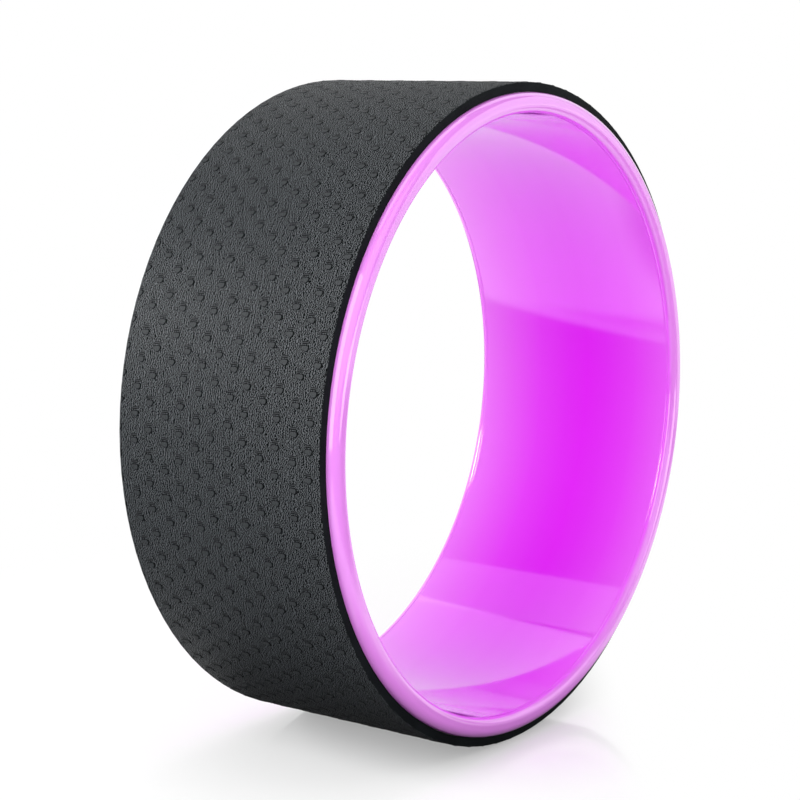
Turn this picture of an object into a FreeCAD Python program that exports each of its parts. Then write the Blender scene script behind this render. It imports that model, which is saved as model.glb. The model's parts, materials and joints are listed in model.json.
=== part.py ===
import FreeCAD, Part
import math
import os

# Yoga wheel: a moulded plastic hoop with one strip of soft foam glued round its outside.
# Millimetres. The origin is the wheel's centre, the hoop's axis runs along Y, and Z is up.

# Core hoop
core_outer_diameter = 320.0
core_wall = 10.0
core_width = 128.0
rim_outer_round = 4.5
rim_inner_round = 4.0
round_limit_share = 0.48

# Tread pad
bare_rim_width = 5.0
pad_thickness = 4.8
pad_edge_round = 0.6
seam_gap = 0.4

# Adhesive film under the pad
film_thickness = 0.2
film_edge_inset = 1.0

# Radii and widths that follow from the sizes above
core_outer_radius = core_outer_diameter / 2
core_inner_radius = core_outer_radius - core_wall
pad_inner_radius = core_outer_radius + film_thickness
pad_outer_radius = pad_inner_radius + pad_thickness
pad_width = core_width - 2 * bare_rim_width
film_width = pad_width - 2 * film_edge_inset

centre = FreeCAD.Vector(0, 0, 0)
hoop_axis = FreeCAD.Vector(0, 1, 0)
full_turn = 360.0


def profile_point(radius, place):
    return FreeCAD.Vector(radius, place, 0)


def corner_arc(corner_radius, corner_place, round_size, radial_side, axial_side):
    # A quarter round in a corner of the section, from its axial tangent to its radial one.
    middle_radius = corner_radius - radial_side * round_size
    middle_place = corner_place - axial_side * round_size
    diagonal = round_size * math.sqrt(0.5)
    start = profile_point(corner_radius, middle_place)
    through = profile_point(middle_radius + radial_side * diagonal, middle_place + axial_side * diagonal)
    end = profile_point(middle_radius, corner_place)
    return Part.Arc(start, through, end).toShape()


def line(start, end):
    return Part.LineSegment(start, end).toShape()


def section_face(inner_radius, outer_radius, width, inner_round, outer_round):
    # The cut face of a band: a rectangle whose outer and inner corners are rounded where they have a size.
    half = width / 2
    inner_low = profile_point(inner_radius, -half + inner_round)
    inner_high = profile_point(inner_radius, half - inner_round)
    outer_low = profile_point(outer_radius, -half + outer_round)
    outer_high = profile_point(outer_radius, half - outer_round)
    high_side = [profile_point(inner_radius + inner_round, half), profile_point(outer_radius - outer_round, half)]
    low_side = [profile_point(outer_radius - outer_round, -half), profile_point(inner_radius + inner_round, -half)]
    edges = [line(inner_low, inner_high), line(*high_side), line(outer_high, outer_low), line(*low_side)]
    if inner_round:
        edges.append(corner_arc(inner_radius, half, inner_round, -1, 1))
        edges.append(corner_arc(inner_radius, -half, inner_round, -1, -1))
    if outer_round:
        edges.append(corner_arc(outer_radius, half, outer_round, 1, 1))
        edges.append(corner_arc(outer_radius, -half, outer_round, 1, -1))
    return Part.Face(Part.Wire(Part.sortEdges(edges)[0]))


def split_band(section, seam_angle):
    # The strip's two ends meet at +X, with half of the seam on each side of the X axis.
    section.rotate(centre, hoop_axis, seam_angle / 2)
    return section.revolve(centre, hoop_axis, full_turn - seam_angle)


def make_core_hoop():
    inner_round = min(rim_inner_round, round_limit_share * core_wall)
    outer_round = min(rim_outer_round, round_limit_share * core_wall)
    section = section_face(core_inner_radius, core_outer_radius, core_width, inner_round, outer_round)
    return section.revolve(centre, hoop_axis, full_turn)


def make_adhesive_film(seam_angle):
    section = section_face(core_outer_radius, pad_inner_radius, film_width, 0, 0)
    return split_band(section, seam_angle)


def make_tread_pad(seam_angle):
    edge_round = min(pad_edge_round, round_limit_share * pad_thickness)
    section = section_face(pad_inner_radius, pad_outer_radius, pad_width, 0, edge_round)
    return split_band(section, seam_angle)


def main():
    seam_angle = 2 * math.degrees(math.asin(seam_gap / 2 / core_outer_radius))
    nodes = {
        "core_hoop": make_core_hoop(),
        "adhesive_film": make_adhesive_film(seam_angle),
        "tread_pad": make_tread_pad(seam_angle),
    }
    os.makedirs("parts", exist_ok=True)
    for name, shape in nodes.items():
        shape.exportStep("parts/" + name + ".step")
        print(name, "valid", shape.isValid(), "volume", round(shape.Volume, 1), "mm3")


main()
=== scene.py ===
import json
import math
import bmesh
import bpy
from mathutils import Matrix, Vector


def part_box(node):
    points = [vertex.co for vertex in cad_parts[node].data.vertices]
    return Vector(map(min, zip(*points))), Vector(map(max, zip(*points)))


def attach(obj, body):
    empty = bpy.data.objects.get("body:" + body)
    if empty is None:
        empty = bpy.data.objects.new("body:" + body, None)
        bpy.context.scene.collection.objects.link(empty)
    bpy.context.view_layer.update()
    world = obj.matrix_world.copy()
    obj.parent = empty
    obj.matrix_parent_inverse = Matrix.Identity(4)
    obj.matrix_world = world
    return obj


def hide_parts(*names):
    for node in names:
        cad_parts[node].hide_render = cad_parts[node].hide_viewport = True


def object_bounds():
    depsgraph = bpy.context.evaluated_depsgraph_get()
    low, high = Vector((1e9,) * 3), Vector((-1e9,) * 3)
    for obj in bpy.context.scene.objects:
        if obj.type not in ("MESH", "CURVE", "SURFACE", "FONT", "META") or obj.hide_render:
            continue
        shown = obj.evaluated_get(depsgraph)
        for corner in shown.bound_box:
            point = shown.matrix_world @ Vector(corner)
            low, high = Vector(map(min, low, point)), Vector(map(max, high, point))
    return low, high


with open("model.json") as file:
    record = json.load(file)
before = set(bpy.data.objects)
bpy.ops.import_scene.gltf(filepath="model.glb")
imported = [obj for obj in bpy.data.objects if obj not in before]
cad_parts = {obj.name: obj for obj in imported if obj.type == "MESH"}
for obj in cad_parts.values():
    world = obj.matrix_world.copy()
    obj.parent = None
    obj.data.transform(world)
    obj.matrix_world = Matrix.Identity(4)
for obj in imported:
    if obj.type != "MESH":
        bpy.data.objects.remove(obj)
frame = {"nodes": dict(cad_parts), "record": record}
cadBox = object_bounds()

mm = 0.001
near = 0.01 * mm    # slack when parts of a mesh are picked by their place
facing = 0.9        # least share of a normal along an axis that counts as facing it
pureWhite = (1, 1, 1, 1)
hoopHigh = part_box("core_hoop")[1]
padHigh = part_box("tread_pad")[1]
boreMount = next(mount for mount in frame["record"]["mounts"] if mount["name"] == "inner_bore")
print("frame loaded, hoop reaches", hoopHigh.to_tuple(4), "pad reaches", padHigh.to_tuple(4))


# Modelling helpers

def addPrimitive(operator, name, **settings):
    bpy.ops.object.select_all(action="DESELECT")
    operator(**settings)
    piece = bpy.context.object
    piece.name = name
    piece.data.name = name
    return piece


def applyPlace():
    bpy.ops.object.transform_apply(location=True, rotation=True, scale=True)


def sizeTo(piece, size):
    piece.scale = size
    applyPlace()


def turnBy(piece, angle, axis):
    piece.rotation_euler["XYZ".index(axis)] = angle
    applyPlace()


def pick(piece, kind, test):  # in edit mode, selects what passes the test and nothing else
    bpy.ops.mesh.select_mode(type=kind)
    bpy.ops.mesh.select_all(action="DESELECT")
    shape = bmesh.from_edit_mesh(piece.data)
    items = {"VERT": shape.verts, "EDGE": shape.edges, "FACE": shape.faces}[kind]
    for item in items:
        if test(item):
            item.select_set(True)
    shape.select_flush_mode()
    bmesh.update_edit_mesh(piece.data)


def addModifier(piece, kind, **settings):
    modifier = piece.modifiers.new(kind.lower(), kind)
    for name, value in settings.items():
        setattr(modifier, name, value)
    bpy.context.view_layer.objects.active = piece
    bpy.ops.object.modifier_apply(modifier=modifier.name)


def joinTo(piece, others):
    bpy.ops.object.select_all(action="DESELECT")
    for other in others:
        other.select_set(True)
    piece.select_set(True)
    bpy.context.view_layer.objects.active = piece
    bpy.ops.object.join()


# Node helpers

def addNode(tree, kind, inputs=None, **settings):
    node = tree.nodes.new("ShaderNode" + kind)
    for name, value in settings.items():
        setattr(node, name, value)
    for socket, value in (inputs or {}).items():
        if isinstance(value, bpy.types.NodeSocket):
            tree.links.new(value, node.inputs[socket])
        else:
            node.inputs[socket].default_value = value
    return node


def maths(tree, operation, *values):
    node = addNode(tree, "Math", dict(enumerate(values)), operation=operation)
    return node.outputs[0]


def ramp(tree, value, start, end, low=0.0, high=1.0):  # smooth step from low to high
    inputs = {"Value": value, "From Min": start, "From Max": end, "To Min": low, "To Max": high}
    return addNode(tree, "MapRange", inputs, interpolation_type="SMOOTHSTEP").outputs["Result"]


def blendColour(tree, share, first, second):
    return addNode(tree, "Mix", {0: share, 6: first, 7: second}, data_type="RGBA").outputs[2]


def lengthOf(tree, vector):
    return addNode(tree, "VectorMath", {0: vector}, operation="LENGTH").outputs["Value"]


def newMaterial(name):
    material = bpy.data.materials.new(name)
    material.use_nodes = True
    material.node_tree.nodes.clear()
    output = addNode(material.node_tree, "OutputMaterial")
    return material, material.node_tree, output


def shaderOut(tree, output, inputs):
    shader = addNode(tree, "BsdfPrincipled", inputs)
    tree.links.new(shader.outputs[0], output.inputs["Surface"])


# Shared effect: soft cloudy patches and fine specks, for roughness and small height

mottleDetail = dict(cloud=3.0, speck=2.0)


def makeMottleGroup(detail):
    group = bpy.data.node_groups.new("softMottle", "ShaderNodeTree")
    group.interface.new_socket("Cloud Scale", in_out="INPUT", socket_type="NodeSocketFloat")
    group.interface.new_socket("Speck Scale", in_out="INPUT", socket_type="NodeSocketFloat")
    group.interface.new_socket("Cloud", in_out="OUTPUT", socket_type="NodeSocketFloat")
    group.interface.new_socket("Speck", in_out="OUTPUT", socket_type="NodeSocketFloat")
    start = group.nodes.new("NodeGroupInput")
    end = group.nodes.new("NodeGroupOutput")
    place = addNode(group, "TexCoord").outputs["Object"]
    cloud = addNode(group, "TexNoise", {
        "Vector": place, "Scale": start.outputs["Cloud Scale"], "Detail": detail["cloud"]})
    speck = addNode(group, "TexNoise", {
        "Vector": place, "Scale": start.outputs["Speck Scale"], "Detail": detail["speck"]})
    group.links.new(cloud.outputs["Fac"], end.inputs["Cloud"])
    group.links.new(speck.outputs["Fac"], end.inputs["Speck"])
    return group


mottleGroup = makeMottleGroup(mottleDetail)


def mottle(tree, cloudScale, speckScale):
    node = addNode(tree, "Group", node_tree=mottleGroup)
    node.inputs["Cloud Scale"].default_value = cloudScale
    node.inputs["Speck Scale"].default_value = speckScale
    return node.outputs["Cloud"], node.outputs["Speck"]


# Core hoop: glossy moulded plastic, deepest in the middle of the barrel; its paler tone towards the rims is
# painted sheen

hoopSpec = dict(
    boreRadius=boreMount["dims"]["r_mm"] * mm,
    outerRadius=round(max(hoopHigh.x, hoopHigh.z), 4),
    halfWidth=round(hoopHigh.y, 4),
    outerRound=4.5 * mm,
    innerRound=4.0 * mm,
    roundSteps=14,
    stepsRound=360,
    supportGap=0.5 * mm,      # edge lines that hold the flat runs beside the roundings
    partingInset=4.7 * mm,    # fine parting line of the mould, from the rim's face
    partingWidth=0.6 * mm,
    partingDepth=0.15 * mm,
    mergeGap=0.001 * mm,
    smoothAngle=50,
)
plasticLook = dict(
    deepest=-8 * mm,                  # where the barrel's colour is deepest, a little off the middle
    stops=[                           # share of the way from there to the far rim, then the colour; the paling outwards is painted sheen
        (0.00, (0.790, 0.009, 0.930)),
        (0.17, (0.790, 0.019, 0.930)),
        (0.42, (0.810, 0.047, 0.935)),
        (0.68, (0.840, 0.115, 0.940)),
        (0.92, (0.865, 0.195, 0.945)),
        (1.00, (0.875, 0.225, 0.945)),
    ],
    paintedRimSheen=(0.890, 0.285, 0.955, 1),
    sheenStart=(0.935, 0.985),          # where the rims' painted sheen sets in, as shares of the half width
    sheenRise=(1.8 * mm, 5.6 * mm),     # and above the bore
    roughness=0.075,
    roughnessSwing=0.05,
    cloudScale=14.0,
    speckScale=900.0,
    tintDrift=0.06,                   # how far the clouds move the colour
    skinHeight=0.006 * mm,
    skinStrength=0.6,
    ior=1.7,
    coatWeight=1.0,
    coatRoughness=0.06,
    coatIor=1.55,
)


def makePlastic(spec, look):
    material, tree, output = newMaterial("glossy_plastic")
    place = addNode(tree, "SeparateXYZ", {0: addNode(tree, "TexCoord").outputs["Object"]})
    share = maths(tree, "DIVIDE", maths(tree, "ABSOLUTE", place.outputs["Y"]), spec["halfWidth"])
    depth = maths(tree, "ABSOLUTE", maths(tree, "SUBTRACT", place.outputs["Y"], look["deepest"]))
    depth = maths(tree, "DIVIDE", depth, spec["halfWidth"] - look["deepest"])
    flat = addNode(tree, "CombineXYZ", {"X": place.outputs["X"], "Y": place.outputs["Z"]}).outputs[0]
    radius = lengthOf(tree, flat)
    cloud, speck = mottle(tree, look["cloudScale"], look["speckScale"])
    drift = maths(tree, "SUBTRACT", depth, look["tintDrift"] / 2)
    drift = maths(tree, "MULTIPLY_ADD", cloud, look["tintDrift"], drift)
    tint = addNode(tree, "ValToRGB", {0: drift})
    stops = tint.color_ramp.elements
    while len(stops) < len(look["stops"]):
        stops.new(1.0)
    for stop, (position, colour) in zip(stops, look["stops"]):
        stop.position = position
        stop.color = (*colour, 1.0)
    rise = maths(tree, "SUBTRACT", radius, spec["boreRadius"])
    # painted sheen: the rims and the wall above the bore take a paler colour than the barrel
    paintedSheen = maths(tree, "MAXIMUM", ramp(tree, share, *look["sheenStart"]), ramp(tree, rise, *look["sheenRise"]))
    colour = blendColour(tree, paintedSheen, tint.outputs["Color"], look["paintedRimSheen"])
    smoothest = look["roughness"] - look["roughnessSwing"] / 2
    roughness = maths(tree, "MULTIPLY_ADD", cloud, look["roughnessSwing"], smoothest)
    bump = addNode(tree, "Bump", {
        "Height": speck, "Distance": look["skinHeight"], "Strength": look["skinStrength"]})
    shaderOut(tree, output, {
        "Base Color": colour, "Roughness": roughness, "Normal": bump.outputs[0], "IOR": look["ior"],
        "Coat Weight": look["coatWeight"], "Coat Roughness": look["coatRoughness"],
        "Coat IOR": look["coatIor"]})
    return material


def makeHoop(spec):
    wall = spec["outerRadius"] - spec["boreRadius"]
    midRadius = spec["boreRadius"] + wall / 2
    piece = addPrimitive(
        bpy.ops.mesh.primitive_plane_add, "hoop_shell", size=1, location=(midRadius, 0, 0))
    sizeTo(piece, (wall, 2 * spec["halfWidth"], 1))
    bpy.ops.object.mode_set(mode="EDIT")
    # round the corners of the wall's section, then keep its outline alone
    pick(piece, "VERT", lambda v: v.co.x > midRadius)
    bpy.ops.mesh.bevel(offset=spec["outerRound"], segments=spec["roundSteps"], affect="VERTICES")
    pick(piece, "VERT", lambda v: abs(v.co.x - spec["boreRadius"]) < near)
    bpy.ops.mesh.bevel(offset=spec["innerRound"], segments=spec["roundSteps"], affect="VERTICES")
    bpy.ops.mesh.select_all(action="SELECT")
    bpy.ops.mesh.delete(type="ONLY_FACE")
    # lines across the wall: supports beside the roundings, and the parting line
    parting = spec["halfWidth"] - spec["partingInset"]
    cuts = [
        spec["halfWidth"] - spec["outerRound"] - spec["supportGap"],
        parting - spec["partingWidth"] / 2, parting, parting + spec["partingWidth"] / 2,
        parting - spec["partingWidth"] / 2 - spec["supportGap"],
    ]
    for cut in cuts:
        for side in (-1, 1):
            bpy.ops.mesh.select_all(action="SELECT")
            bpy.ops.mesh.bisect(plane_co=(0, side * cut, 0), plane_no=(0, 1, 0))
    pick(piece, "VERT", lambda v: v.co.x < midRadius and abs(abs(v.co.y) - parting) < near)
    bpy.ops.transform.translate(value=(spec["partingDepth"], 0, 0))
    bpy.ops.mesh.select_all(action="SELECT")
    bpy.ops.mesh.spin(steps=spec["stepsRound"], angle=2 * math.pi, center=(0, 0, 0), axis=(0, 1, 0))
    bpy.ops.mesh.select_all(action="SELECT")
    bpy.ops.mesh.remove_doubles(threshold=spec["mergeGap"])
    bpy.ops.mesh.normals_make_consistent(inside=False)
    bpy.ops.object.mode_set(mode="OBJECT")
    bpy.ops.object.shade_smooth_by_angle(angle=math.radians(spec["smoothAngle"]))
    return piece


hoop = makeHoop(hoopSpec)
hoop.data.materials.append(makePlastic(hoopSpec, plasticLook))
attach(hoop, "root")
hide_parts("core_hoop")
print("hoop shell done,", len(hoop.data.polygons), "faces")


# Tread pad: a foam strip modelled flat, embossed, then bent round the hoop

padSpec = dict(
    treadRadius=round(max(padHigh.x, padHigh.z), 4),
    halfWidth=round(padHigh.y, 4),
    thickness=4.8 * mm,
    skinDrop=0.17 * mm,       # ground of the skin below the tops of the pips
    edgeRound=0.6 * mm,
    edgeSteps=3,
    seamGap=0.4 * mm,
    stepsRound=328,
    smoothAngle=40,
    cutShare=0.3,             # share of the edge's rounding that is cut foam
)
embossSpec = dict(
    tilesRound=82,
    tileAcross=18.68 * mm,
    phase=(5.2 * mm, 3.6 * mm),           # first pip, along the tread and across it
    skew=0.02,                            # the sheet was cut a little off square
    secondPip=(5.64 * mm, -9.87 * mm),    # second pip from the first
    sink=0.04 * mm,
    pipRise=0.13 * mm,
    pipCrown=0.04 * mm,
    pipDraftShare=0.6,
    pipInset=0.3 * mm,
    brimValue=0.5,                        # pipEdge is 0 at a pip's foot, this at its brim and 1 on its crown
    firstOutline=[(0.60, 3.1), (-0.55, 2.8), (-1.7, 1.75), (-1.75, -2.05), (-1.3, -3.1),
                  (-0.25, -3.3), (1.15, -2.7), (2.05, -1.8), (2.1, -0.55), (1.45, 1.15)],
    secondOutline=[(0.40, 3.2), (-0.65, 2.7), (-1.7, 1.6), (-1.75, -1.95), (-1.3, -2.95),
                   (-0.1, -3.2), (1.3, -2.8), (1.95, -1.95), (1.8, -0.4), (1.15, 1.5)],
    # stitched ribs zigzag from each first pip to a second one and on to the next first pip
    stitchRise=0.10 * mm,
    stitchLength=0.75 * mm,
    stitchPitch=1.3 * mm,
    stitchTop=(0.5, 0.62),
    ribClear=3.1 * mm,                    # bare stretch of a rib at either pip
    ribWidths=[(0.9 * mm, 2.2 * mm), (1.6 * mm, 1.5 * mm)],
)


def makeStrip(spec, flatLength):
    depth = spec["thickness"] - spec["skinDrop"]
    strip = addPrimitive(
        bpy.ops.mesh.primitive_cube_add, "tread_strip", size=1, location=(0, 0, -depth / 2))
    sizeTo(strip, (flatLength, 2 * spec["halfWidth"], depth))
    bpy.ops.object.mode_set(mode="EDIT")
    pick(strip, "EDGE", lambda e: abs(e.verts[0].co.x - e.verts[1].co.x) > flatLength / 2)
    bpy.ops.mesh.subdivide(number_cuts=spec["stepsRound"] - 1)
    onSide = spec["halfWidth"] - near
    pick(strip, "EDGE", lambda e: all(abs(v.co.z) < near and abs(v.co.y) > onSide for v in e.verts))
    bpy.ops.mesh.bevel(offset=spec["edgeRound"], segments=spec["edgeSteps"], affect="EDGES")
    bpy.ops.object.mode_set(mode="OBJECT")
    return strip


def makePip(name, outline, middle, spec):
    pip = addPrimitive(bpy.ops.mesh.primitive_circle_add, name, vertices=len(outline), fill_type="NGON")
    for vertex, (along, across) in zip(pip.data.vertices, outline):
        vertex.co = (-(middle[0] + along * mm), middle[1] + across * mm, -spec["sink"])
    pip.data.update()
    faceDown = pip.data.polygons[0].normal.z < 0
    centre = (-middle[0], middle[1], 0)
    draft = spec["pipDraftShare"]
    bpy.ops.object.mode_set(mode="EDIT")
    bpy.ops.mesh.select_all(action="SELECT")
    if faceDown:
        bpy.ops.mesh.flip_normals()
    height = spec["sink"] + spec["pipRise"]
    bpy.ops.mesh.extrude_region_move(TRANSFORM_OT_translate={"value": (0, 0, height)})
    bpy.ops.transform.resize(value=(draft, draft, 1), center_override=centre)
    bpy.ops.mesh.inset(thickness=spec["pipInset"], depth=spec["pipCrown"])
    bpy.ops.mesh.select_all(action="DESELECT")
    bpy.ops.mesh.select_mode(type="EDGE")
    bpy.ops.mesh.select_non_manifold()
    bpy.ops.mesh.edge_face_add()
    bpy.ops.mesh.select_all(action="SELECT")
    bpy.ops.mesh.normals_make_consistent(inside=False)
    bpy.ops.object.mode_set(mode="OBJECT")
    edge = pip.data.attributes.new("pipEdge", "FLOAT", "POINT")
    for vertex in pip.data.vertices:
        climb = (vertex.co.z + spec["sink"]) / height
        onCrown = vertex.co.z > spec["pipRise"] + near
        edge.data[vertex.index].value = 1.0 if onCrown else spec["brimValue"] * climb
    return pip


def makeStitch(name, middle, width, slant, spec):
    depth = spec["sink"] + spec["stitchRise"]
    stitch = addPrimitive(bpy.ops.mesh.primitive_cube_add, name, size=1)
    sizeTo(stitch, (spec["stitchLength"], width, depth))
    bpy.ops.object.mode_set(mode="EDIT")
    pick(stitch, "FACE", lambda f: f.normal.z > facing)
    bpy.ops.transform.resize(value=(*spec["stitchTop"], 1), center_override=(0, 0, 0))
    bpy.ops.object.mode_set(mode="OBJECT")
    stitch.location = (-middle[0], middle[1], spec["stitchRise"] - depth / 2)
    turnBy(stitch, slant, "Z")
    return stitch


def makeRib(name, start, end, widths, spec):
    run = Vector(end) - Vector(start)
    room = run.length - 2 * spec["ribClear"]
    count = int(room / spec["stitchPitch"]) + 1
    slant = math.atan2(run.y, -run.x)
    stitches = []
    for index in range(count):
        share = (spec["ribClear"] + index * room / (count - 1)) / run.length
        width = widths[0] + (widths[1] - widths[0]) * share
        middle = Vector(start) + run * share
        stitches.append(makeStitch(f"{name}_{index}", middle, width, slant, spec))
    return stitches


def makeTile(spec, pitch):
    first = makePip("pip_first", spec["firstOutline"], (0, 0), spec)
    second = makePip("pip_second", spec["secondOutline"], spec["secondPip"], spec)
    corner = (spec["secondPip"][0] - pitch, spec["secondPip"][1])
    upRib = makeRib("up_rib", (0, 0), corner, spec["ribWidths"][0], spec)
    downRib = makeRib("down_rib", corner, (0, -spec["tileAcross"]), spec["ribWidths"][1], spec)
    joinTo(first, [second, *upRib, *downRib])
    return first


def trim(piece, point, outward):  # cuts the piece at a plane and closes the cut
    bpy.ops.mesh.select_all(action="SELECT")
    bpy.ops.mesh.bisect(plane_co=point, plane_no=outward, use_fill=True, clear_outer=True)


def makeEmboss(spec, pad, groundRadius, flatLength):
    pitch = 2 * math.pi * groundRadius / spec["tilesRound"]
    columns = spec["tilesRound"] // 2 + 2
    rows = math.ceil(pad["halfWidth"] / spec["tileAcross"]) + 1
    tile = makeTile(spec, pitch)
    tile.location = (
        -spec["phase"][0] * groundRadius / pad["treadRadius"] - columns * pitch,
        spec["phase"][1] - rows * spec["tileAcross"] + columns * pitch * spec["skew"], 0)
    applyPlace()
    addModifier(tile, "ARRAY", count=2 * columns + 1, use_relative_offset=False, use_constant_offset=True,
                constant_offset_displace=(pitch, -pitch * spec["skew"], 0))
    addModifier(tile, "ARRAY", count=2 * rows + 1, use_relative_offset=False, use_constant_offset=True,
                constant_offset_displace=(0, spec["tileAcross"], 0))
    edge = pad["halfWidth"] - pad["edgeRound"]
    end = flatLength / 2 - pad["seamGap"]
    bpy.ops.object.mode_set(mode="EDIT")
    for side in (-1, 1):
        trim(tile, (0, side * edge, 0), (0, side, 0))
        trim(tile, (side * end, 0, 0), (side, 0, 0))
    bpy.ops.mesh.select_all(action="SELECT")
    bpy.ops.mesh.normals_make_consistent(inside=False)
    bpy.ops.object.mode_set(mode="OBJECT")
    return tile


def markSkin(piece, spec, flatLength):  # flat map in metres, and which faces are cut foam
    mesh = piece.data
    flatMap = mesh.uv_layers.new(name="stripMap")
    for loop in mesh.loops:
        place = mesh.vertices[loop.vertex_index].co
        flatMap.data[loop.index].uv = (-place.x, place.y)
    for face in mesh.polygons:
        onSide = abs(face.center.y) > spec["halfWidth"] - spec["cutShare"] * spec["edgeRound"]
        onEnd = abs(face.normal.x) > facing and abs(face.center.x) > flatLength / 2 - near
        underneath = face.center.z < -spec["thickness"] / 2
        face.material_index = 1 if onSide or onEnd or underneath else 0


def bendRound(piece, radius, flatLength):
    turnBy(piece, math.radians(90), "X")
    addModifier(
        piece, "SIMPLE_DEFORM", deform_method="BEND", deform_axis="Z", angle=flatLength / radius)
    piece.location = (0, -radius, 0)
    applyPlace()
    turnBy(piece, math.radians(-90), "X")
    turnBy(piece, math.radians(-90), "Y")  # the seam goes to the far end of X


def makeTreadPad(spec, emboss):
    groundRadius = spec["treadRadius"] - spec["skinDrop"]
    flatLength = 2 * math.pi * groundRadius - spec["seamGap"]
    strip = makeStrip(spec, flatLength)
    relief = makeEmboss(emboss, spec, groundRadius, flatLength)
    joinTo(strip, [relief])
    strip.name = strip.data.name = "tread_skin"
    markSkin(strip, spec, flatLength)
    bendRound(strip, groundRadius, flatLength)
    bpy.ops.object.shade_smooth_by_angle(angle=math.radians(spec["smoothAngle"]))
    return strip


foamLook = dict(
    crestColour=(0.084, 0.0930, 0.1020, 1),
    creaseShadeColour=(0.0015, 0.0018, 0.0021, 1),
    plainColour=(0.0390, 0.0430, 0.0468, 1),  # tops of the pips and ribs, where the skin is smooth
    shadeLineColour=(0.0025, 0.003, 0.0035, 1),    # painted shade: the dark outline of each pip and the rungs above it
    pipPlainShare=0.85,                       # how much of the wrinkles the pips lose
    ribPlainShare=0.45,
    wrinkleAcross=1.2 * mm,                   # spacing of the wrinkles
    wrinkleHeight=0.12 * mm,
    wrinkleBand=(0.20, 0.36),
    swayLength=(1.25 * mm, 3.2 * mm),         # along the wrinkles and across them
    swayTurns=2.1,
    grainSize=0.55 * mm,
    grainShare=1.0,
    ribReach=(0.35 * mm, 0.9 * mm),
    stepReach=1.15 * mm,                      # half width of the slope along each rib
    stepHeight=0.30 * mm,
    armTurn=0.05,                             # share of a tile over which the zigzag turns
    pipFoot=(0.1, 0.2),                       # this and the next three are on the scale of pipEdge
    pipTop=(0.42, 0.5),
    outlineFoot=(0.17, 0.25),
    outlineBrim=(0.46, 0.51),
    outlineSpan=(-1.6 * mm, 0.4 * mm),
    outlineUpper=(-1.15 * mm, -0.7 * mm),
    outlineChange=(2.9 * mm, 3.1 * mm),       # from a first pip to where the second one's outline starts
    outlineFar=0.42,                          # the outline's painted shade is fainter at the pip's far end
    plainSheenShare=0.5,                      # sheen of the smooth tops, against the crests'
    rungStart=2.1 * mm,                       # above the pip's middle
    rungPitch=0.88 * mm,
    rungWidth=(0.19, 0.32),                   # half width of a bar and of its soft edge, in steps
    rungFirst=(-0.5, -0.3),                   # where the bars start, and where they fade out, in steps
    rungLast=(0.7, 1.7),
    rungReach=(1.5 * mm, 1.95 * mm),
    rungLean=0.3 * mm,
    rungPlainShare=0.8,
    roughness=(0.75, 0.6),                    # of the wrinkles and of the smooth tops
    specular=0.05,
    coatRoughness=0.55,
    coatIor=1.5,
)


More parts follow.
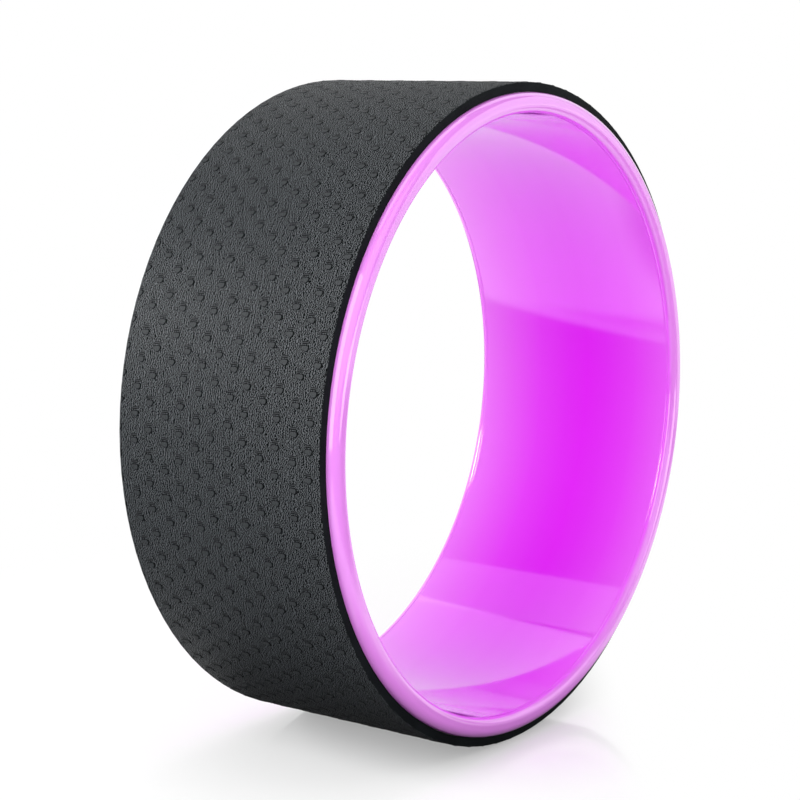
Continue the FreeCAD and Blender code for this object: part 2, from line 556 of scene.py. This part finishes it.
def makeFoamSkin(spec, emboss, look):
    material, tree, output = newMaterial("foam_skin")
    flat = addNode(tree, "UVMap", uv_map="stripMap").outputs[0]
    edge = addNode(tree, "Attribute", attribute_name="pipEdge").outputs["Fac"]
    place = addNode(tree, "SeparateXYZ", {0: flat})
    groundRadius = spec["treadRadius"] - spec["skinDrop"]
    pitch = 2 * math.pi * groundRadius / emboss["tilesRound"]
    across = emboss["tileAcross"]
    start = (emboss["phase"][0] * groundRadius / spec["treadRadius"], emboss["phase"][1])

    fromStart = maths(tree, "SUBTRACT", place.outputs["X"], start[0])
    skewed = maths(tree, "MULTIPLY_ADD", fromStart, -emboss["skew"], place.outputs["Y"])
    seat = (place.outputs["X"], skewed)
    period = (pitch, across)

    def offsetFrom(axis, point):  # how far from the nearest repeat of a point of the tile
        half = period[axis] / 2
        return maths(tree, "WRAP", maths(tree, "SUBTRACT", seat[axis], point), half, -half)

    def flatNoise(vector, scale):
        inputs = {"Vector": vector, "Scale": scale, "Detail": 1.0}
        return addNode(tree, "TexNoise", inputs, noise_dimensions="2D").outputs["Fac"]

    def outlineShadeDepth(middle):  # the painted shadow line is deepest at a pip's near end and along its upper edge
        along, side = offsetFrom(0, start[0] + middle[0]), offsetFrom(1, start[1] + middle[1])
        nearEnd = ramp(tree, side, *look["outlineSpan"], 1.0, look["outlineFar"])
        upper = ramp(tree, along, *look["outlineUpper"], 1.0, look["outlineFar"])
        return maths(tree, "MAXIMUM", nearEnd, upper)

    def rungs(middle):  # short bars of painted shade above the pip, each a little nearer than the one below
        along = offsetFrom(0, start[0] + middle[0] - look["rungStart"])
        step = maths(tree, "DIVIDE", along, -look["rungPitch"])
        side = maths(tree, "MULTIPLY_ADD", step, look["rungLean"], offsetFrom(1, start[1] + middle[1]))
        bars = ramp(tree, maths(tree, "PINGPONG", step, 0.5), *look["rungWidth"], 1.0, 0.0)
        reach = maths(tree, "MULTIPLY", ramp(tree, step, *look["rungFirst"]),
                      ramp(tree, step, *look["rungLast"], 1.0, 0.0))
        patch = maths(tree, "MULTIPLY", reach,
                      ramp(tree, maths(tree, "ABSOLUTE", side), *look["rungReach"], 1.0, 0.0))
        return maths(tree, "MULTIPLY", bars, patch), patch

    # zigzag of the stitched ribs: one arm slopes up the tread, the other down it
    turn = -emboss["secondPip"][1] / across
    share = maths(tree, "FRACT", maths(tree, "DIVIDE", maths(tree, "SUBTRACT", start[1], skewed), across))
    climb = maths(tree, "MINIMUM", maths(tree, "DIVIDE", share, turn),
                  maths(tree, "DIVIDE", maths(tree, "SUBTRACT", 1.0, share), 1.0 - turn))
    along = maths(tree, "MULTIPLY_ADD", climb, pitch - emboss["secondPip"][0], fromStart)
    along = maths(tree, "WRAP", along, pitch / 2, -pitch / 2)
    ribs = ramp(tree, maths(tree, "ABSOLUTE", along), *look["ribReach"], look["ribPlainShare"], 0.0)
    arm = ramp(tree, share, turn - look["armTurn"], turn + look["armTurn"], 1.0, -1.0)
    arm = maths(tree, "MULTIPLY", arm, ramp(tree, maths(tree, "PINGPONG", share, 0.5), 0.0, look["armTurn"]))
    fall = ramp(tree, along, -look["stepReach"], look["stepReach"], 0.5, -0.5)
    steps = maths(tree, "MULTIPLY", arm, maths(tree, "MULTIPLY_ADD", along, 1 / pitch, fall))
    # worm-like wrinkles of the skin, mostly along the tread
    bends = addNode(tree, "VectorMath", {0: flat, 1: (*look["swayLength"], 1)}, operation="DIVIDE")
    sway = flatNoise(bends.outputs[0], 1.0)
    grain = flatNoise(flat, 1 / look["grainSize"])
    turns = maths(tree, "MULTIPLY_ADD", sway, look["swayTurns"],
                  maths(tree, "DIVIDE", place.outputs["Y"], look["wrinkleAcross"]))
    lines = maths(tree, "SUBTRACT", maths(tree, "PINGPONG", turns, 0.5), look["grainShare"] / 2)
    lines = maths(tree, "MULTIPLY_ADD", grain, look["grainShare"], lines)
    wrinkle = ramp(tree, lines, *look["wrinkleBand"])
    # smooth tops, and the painted shade lines round the pips
    (firstBars, firstPatch), (secondBars, secondPatch) = rungs((0, 0)), rungs(emboss["secondPip"])
    around = ramp(tree, edge, *look["pipFoot"], 1.0, 0.0)
    bars = maths(tree, "MULTIPLY", maths(tree, "MAXIMUM", firstBars, secondBars), around)
    patches = maths(tree, "MAXIMUM", firstPatch, secondPatch)
    patches = maths(tree, "MULTIPLY", patches, look["rungPlainShare"])
    pips = ramp(tree, edge, *look["pipTop"], 0.0, look["pipPlainShare"])
    plain = maths(tree, "MAXIMUM", maths(tree, "MAXIMUM", pips, ribs), patches)
    onSecond = ramp(tree, maths(tree, "ABSOLUTE", offsetFrom(0, start[0])), *look["outlineChange"])
    firstDepth = outlineShadeDepth((0, 0))
    depthChange = maths(tree, "SUBTRACT", outlineShadeDepth(emboss["secondPip"]), firstDepth)
    depth = maths(tree, "MULTIPLY_ADD", depthChange, onSecond, firstDepth)
    dark = maths(tree, "MULTIPLY", ramp(tree, edge, *look["outlineFoot"]),
                 ramp(tree, edge, *look["outlineBrim"], 1.0, 0.0))
    dark = maths(tree, "MAXIMUM", maths(tree, "MULTIPLY", dark, depth), bars)
    height = maths(tree, "MULTIPLY", maths(tree, "MULTIPLY", wrinkle, look["wrinkleHeight"]),
                   maths(tree, "SUBTRACT", 1.0, plain))
    height = maths(tree, "MULTIPLY_ADD", steps, look["stepHeight"], height)
    bump = addNode(tree, "Bump", {"Height": height, "Distance": 1.0, "Strength": 1.0})
    # painted shade: the creases of the wrinkles are coloured far darker than the crests
    colour = blendColour(tree, wrinkle, look["creaseShadeColour"], look["crestColour"])
    colour = blendColour(tree, plain, colour, look["plainColour"])
    # painted shade: the outlines round the pips and the bars above them take a near-black colour
    colour = blendColour(tree, dark, colour, look["shadeLineColour"])
    # the crests have all of the sheen, the creases and painted shade lines none
    sheenChange = maths(tree, "SUBTRACT", look["plainSheenShare"], wrinkle)
    sheen = maths(tree, "MULTIPLY_ADD", sheenChange, plain, wrinkle)
    sheen = maths(tree, "MULTIPLY", sheen, maths(tree, "SUBTRACT", 1.0, dark))
    roughness = ramp(tree, plain, 0.0, 1.0, *look["roughness"])
    shaderOut(tree, output, {
        "Base Color": colour, "Roughness": roughness, "Normal": bump.outputs[0],
        "Specular IOR Level": look["specular"], "Coat Weight": sheen,
        "Coat Roughness": look["coatRoughness"], "Coat IOR": look["coatIor"]})
    return material


# the cut faces are far darker than the skin, partly the cut foam's own tone and partly painted shade
cutLook = dict(
    colour=(0.0022, 0.0042, 0.0052, 1),
    paler=(0.0045, 0.0075, 0.0088, 1),
    cloudScale=60.0,
    cloudBand=(0.35, 0.65),
    poreScale=2600.0,
    poreBand=(0.3, 0.7),
    poreHeight=0.05 * mm,
    poreStrength=0.7,
    roughness=(0.62, 0.82),
    specular=0.15,
)


def makeCutFoam(look):
    material, tree, output = newMaterial("cut_foam")
    cloud, pore = mottle(tree, look["cloudScale"], look["poreScale"])
    colour = blendColour(tree, ramp(tree, cloud, *look["cloudBand"]), look["colour"], look["paler"])
    bump = addNode(tree, "Bump", {
        "Height": pore, "Distance": look["poreHeight"], "Strength": look["poreStrength"]})
    roughness = ramp(tree, pore, *look["poreBand"], *look["roughness"])
    shaderOut(tree, output, {
        "Base Color": colour, "Roughness": roughness, "Normal": bump.outputs[0],
        "Specular IOR Level": look["specular"]})
    return material


treadPad = makeTreadPad(padSpec, embossSpec)
treadPad.data.materials.append(makeFoamSkin(padSpec, embossSpec, foamLook))
treadPad.data.materials.append(makeCutFoam(cutLook))
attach(treadPad, "root")
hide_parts("tread_pad")
print("tread pad done,", len(treadPad.data.polygons), "faces")


# Adhesive film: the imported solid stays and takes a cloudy, faintly patchy finish

filmLook = dict(
    colour=(0.70, 0.67, 0.58, 1),
    paler=(0.82, 0.80, 0.72, 1),
    cloudScale=45.0,
    cloudBand=(0.35, 0.65),
    speckScale=700.0,
    speckHeight=0.02 * mm,
    speckStrength=0.5,
    roughnessBand=(0.3, 0.7),
    roughness=(0.28, 0.45),
)


def makeFilm(look):
    material, tree, output = newMaterial("adhesive_film")
    cloud, speck = mottle(tree, look["cloudScale"], look["speckScale"])
    colour = blendColour(tree, ramp(tree, cloud, *look["cloudBand"]), look["colour"], look["paler"])
    bump = addNode(tree, "Bump", {
        "Height": speck, "Distance": look["speckHeight"], "Strength": look["speckStrength"]})
    roughness = ramp(tree, cloud, *look["roughnessBand"], *look["roughness"])
    shaderOut(tree, output, {"Base Color": colour, "Roughness": roughness, "Normal": bump.outputs[0]})
    return material


film = frame["nodes"]["adhesive_film"]
film.data.materials.clear()
film.data.materials.append(makeFilm(filmLook))
print("adhesive film dressed")


# Stage: a white table under the wheel, a white sheet behind it, soft boxes round it

viewSpec = dict(place=(-0.8510, -0.5926, 0.1766), yaw=0.950, pitch=-0.166, lens=92.12, sensor=36.0)
stageSpec = dict(
    floorSize=12.0,
    sheetDistance=2.2,
    sheetSize=(5.0, 4.2),
    sheetTone=(0.5, 0.5, 0.5, 1),
    ambient=0.50,
    # the table as glossy pieces see it, in metres from the wheel
    dimRoom=0.11,                  # brightness of the room beyond the table
    tableLeft=0.297,               # the table's edge, left of the wheel as the camera sees it
    tableEdge=0.02,
    contactDark=(0.06, 0.22),      # dark round the line of contact, where the wheel shades it
    contactShare=0.08,
    leftShare=0.4,                 # the dark reaches farther to the left
    contactBack=(0.075, 0.11),     # and ends behind the wheel
    contactLeft=(-0.20, -0.12),
    frontLeft=((-0.20, -0.15), (-0.08, -0.04)),  # bright again left of the near rim
    frontLeftShare=0.7,
    tableFront=(-0.40, -0.25),     # the front of the table is dim, but for its far right
    tableRight=(0.70, 1.00),
    # light that the floor throws back: little from the left, so that the lower tread stays deep
    darkSide=(0.0, 0.12),
    brightFront=(-0.16, -0.07),
    darkBounce=(0.04, 0.04, 0.04, 1),
    brightBounce=(0.92, 0.92, 0.92, 1),
    # the floor as the camera sees it
    selfLight=(0.38, 0.78),        # share of the white that no shadow reaches, under the tread and beside it
    besideReach=0.035,
    whiteRight=(-0.11, -0.04),     # the shadow has faded out right of the wheel
    shadowReach=(0.22, 0.42),
    glossReach=(0.012, 0.095),
    glossRoughness=0.10,
    glossIor=1.5,
)
sightLine = Vector((math.sin(viewSpec["yaw"]), math.cos(viewSpec["yaw"]), 0))
leftHand = Vector((-sightLine.y, sightLine.x, 0))


def shinyRays(tree, rays):
    return maths(tree, "MAXIMUM", rays.outputs["Is Glossy Ray"], rays.outputs["Is Transmission Ray"])


def mixShaders(tree, share, first, second):
    return addNode(tree, "MixShader", {0: share, 1: first.outputs[0], 2: second.outputs[0]})


def makeFloorLook(spec):
    material, tree, output = newMaterial("white_table")
    rays = addNode(tree, "LightPath")
    place = addNode(tree, "TexCoord").outputs["Object"]
    axes = addNode(tree, "SeparateXYZ", {0: place})
    along, across = axes.outputs["X"], axes.outputs["Y"]
    distance = lengthOf(tree, place)
    left = addNode(tree, "VectorMath", {0: place, 1: leftHand}, operation="DOT_PRODUCT").outputs["Value"]
    beyond = maths(tree, "SUBTRACT", maths(tree, "ABSOLUTE", across), padHigh.y)
    beyond = maths(tree, "MAXIMUM", beyond, 0.0)

    def fromContact(reach):  # distance from the line on which the wheel stands
        return lengthOf(tree, addNode(tree, "CombineXYZ", {"X": reach, "Y": beyond}).outputs[0])

    # the camera sees white that keeps the wheel's shadow, and a reflection that fades from the contact
    shaded = addNode(tree, "BsdfDiffuse", {"Color": pureWhite})
    lit = addNode(tree, "Emission", {"Color": pureWhite, "Strength": 1.0})
    least = ramp(tree, beyond, 0.0, spec["besideReach"], *spec["selfLight"])
    least = maths(tree, "MAXIMUM", ramp(tree, distance, *spec["shadowReach"], least, 1.0),
                  ramp(tree, left, *spec["whiteRight"], 1.0, 0.0))
    white = mixShaders(tree, least, shaded, lit)
    gloss = addNode(tree, "BsdfGlossy", {"Color": pureWhite, "Roughness": spec["glossRoughness"]})
    mirror = maths(tree, "MULTIPLY", addNode(tree, "Fresnel", {"IOR": spec["glossIor"]}).outputs[0],
                   ramp(tree, fromContact(along), *spec["glossReach"], 1.0, 0.0))
    seen = mixShaders(tree, mirror, white, gloss)
    # glossy pieces see the white table with a painted shadow round the wheel's contact, and the dim room
    # beyond its edge
    edge = (spec["tableLeft"] - spec["tableEdge"], spec["tableLeft"] + spec["tableEdge"])
    shadeReach = maths(tree, "MAXIMUM", along, maths(tree, "MULTIPLY", along, -spec["leftShare"]))
    back = maths(tree, "MULTIPLY", ramp(tree, across, *spec["contactBack"]),
                 ramp(tree, along, *spec["contactLeft"]))
    corner = maths(tree, "MULTIPLY", ramp(tree, along, *spec["frontLeft"][0], spec["frontLeftShare"], 0.0),
                   ramp(tree, across, *spec["frontLeft"][1], 1.0, 0.0))
    clear = ramp(tree, fromContact(shadeReach), *spec["contactDark"], spec["contactShare"], 1.0)
    clear = maths(tree, "MAXIMUM", clear, maths(tree, "MAXIMUM", back, corner))
    front = maths(tree, "MAXIMUM", ramp(tree, across, *spec["tableFront"], spec["dimRoom"], 1.0),
                  ramp(tree, along, *spec["tableRight"]))
    table = maths(tree, "MULTIPLY", clear, front)
    table = maths(tree, "MULTIPLY", table, ramp(tree, left, *edge, 1.0, spec["dimRoom"]))
    mirrored = addNode(tree, "Emission", {"Strength": table})
    # and the floor throws light back on the wheel
    bright = maths(tree, "MAXIMUM", ramp(tree, along, *spec["darkSide"]),
                   ramp(tree, across, *spec["brightFront"], 1.0, 0.0))
    bounceColour = blendColour(tree, bright, spec["darkBounce"], spec["brightBounce"])
    bounce = addNode(tree, "BsdfDiffuse", {"Color": bounceColour})
    final = mixShaders(tree, shinyRays(tree, rays), bounce, mirrored)
    final = mixShaders(tree, rays.outputs["Is Camera Ray"], final, seen)
    tree.links.new(final.outputs[0], output.inputs["Surface"])
    return material


def makeSheetLook(spec):
    material, tree, output = newMaterial("white_sheet")
    rays = addNode(tree, "LightPath")
    lit = addNode(tree, "Emission", {"Color": pureWhite, "Strength": 1.0})
    dim = addNode(tree, "BsdfDiffuse", {"Color": spec["sheetTone"]})
    shown = maths(tree, "MAXIMUM", rays.outputs["Is Camera Ray"], shinyRays(tree, rays))
    final = mixShaders(tree, shown, dim, lit)
    tree.links.new(final.outputs[0], output.inputs["Surface"])
    return material


def makeStage(spec):
    floor = addPrimitive(bpy.ops.mesh.primitive_plane_add, "floor", size=spec["floorSize"])
    floor.location = (0, 0, cadBox[0].z)
    floor.data.materials.append(makeFloorLook(spec))
    sheet = addPrimitive(bpy.ops.mesh.primitive_plane_add, "white_sheet", size=1)
    sheet.scale = (*spec["sheetSize"], 1)
    sheet.rotation_euler = (math.radians(90), 0, -viewSpec["yaw"])
    sheetMiddle = Vector((0, 0, cadBox[0].z + spec["sheetSize"][1] / 2))
    sheet.location = sightLine * spec["sheetDistance"] + sheetMiddle
    sheet.data.materials.append(makeSheetLook(spec))


def makeWorld(spec):
    world = bpy.data.worlds.new("studio")
    world.use_nodes = True
    tree = world.node_tree
    tree.nodes.clear()
    rays = addNode(tree, "LightPath")
    around = ramp(tree, rays.outputs["Is Glossy Ray"], 0.0, 1.0, spec["ambient"], spec["dimRoom"])
    strength = ramp(tree, rays.outputs["Is Camera Ray"], 0.0, 1.0, around, 1.0)
    background = addNode(tree, "Background", {"Color": pureWhite, "Strength": strength})
    output = addNode(tree, "OutputWorld")
    tree.links.new(background.outputs[0], output.inputs["Surface"])
    bpy.context.scene.world = world


# level is the brightness of the lamp's own face, and one that isn't mirrored stays out of reflections
lamps = dict(
    keyBox=dict(place=(-0.86, 0.0, 0.34), aim=(-0.15, 0.0, 0.05), size=(0.9, 0.9), level=2.2),
    lowLeft=dict(place=(-0.95, -0.10, -0.02), aim=(-0.15, -0.08, -0.02), size=(0.5, 0.26), level=0.3),
    roof=dict(place=(-0.05, 0.05, 0.95), aim=(-0.05, 0.05, 0.0), size=(0.9, 0.5), level=1.2),
    topBox=dict(place=(0.07, 0.62, 0.90), aim=(0.07, 0.62, 0.0), size=(0.40, 0.65), level=0.45),
    frontBox=dict(place=(-0.55, -1.35, 0.85), aim=(0.05, 0.0, 0.0), size=(2.0, 1.5), level=0.6),
    rimBox=dict(place=(0.35, -1.20, -0.02), aim=(0.0, -0.06, 0.0), size=(0.7, 0.28), level=2.2),
    sideBox=dict(place=(1.10, -0.85, 0.45), aim=(0.0, 0.0, 0.05), size=(1.0, 0.8), level=1.05),
    backLeft=dict(place=(-0.62, 0.95, 0.42), aim=(-0.1, 0.0, 0.0), size=(0.25, 0.35), level=15.0),
    lowBack=dict(place=(0.0, 0.60, -0.12), aim=(0.05, 0.0, 0.10), size=(0.9, 0.08), level=15.0,
                 mirrored=False),
)


def makeLamps():
    for name, spec in lamps.items():
        lamp = bpy.data.lights.new(name, "AREA")
        lamp.shape = "RECTANGLE"
        lamp.size, lamp.size_y = spec["size"]
        lamp.energy = spec["level"] * math.pi * spec["size"][0] * spec["size"][1]
        holder = bpy.data.objects.new(name, lamp)
        holder.location = spec["place"]
        sight = Vector(spec["aim"]) - Vector(spec["place"])
        holder.rotation_euler = sight.to_track_quat("-Z", "Y").to_euler()
        holder.visible_camera = False
        holder.visible_glossy = spec.get("mirrored", True)
        bpy.context.scene.collection.objects.link(holder)


def makeCamera(spec):
    camera = bpy.data.cameras.new("camera")
    camera.lens, camera.sensor_width = spec["lens"], spec["sensor"]
    holder = bpy.data.objects.new("camera", camera)
    holder.location = spec["place"]
    holder.rotation_euler = (math.radians(90) + spec["pitch"], 0, -spec["yaw"])
    bpy.context.scene.collection.objects.link(holder)
    bpy.context.scene.camera = holder


makeStage(stageSpec)
makeWorld(stageSpec)
makeLamps()
makeCamera(viewSpec)
bpy.context.scene.view_settings.view_transform = "Standard"
print("stage, lamps and camera done")
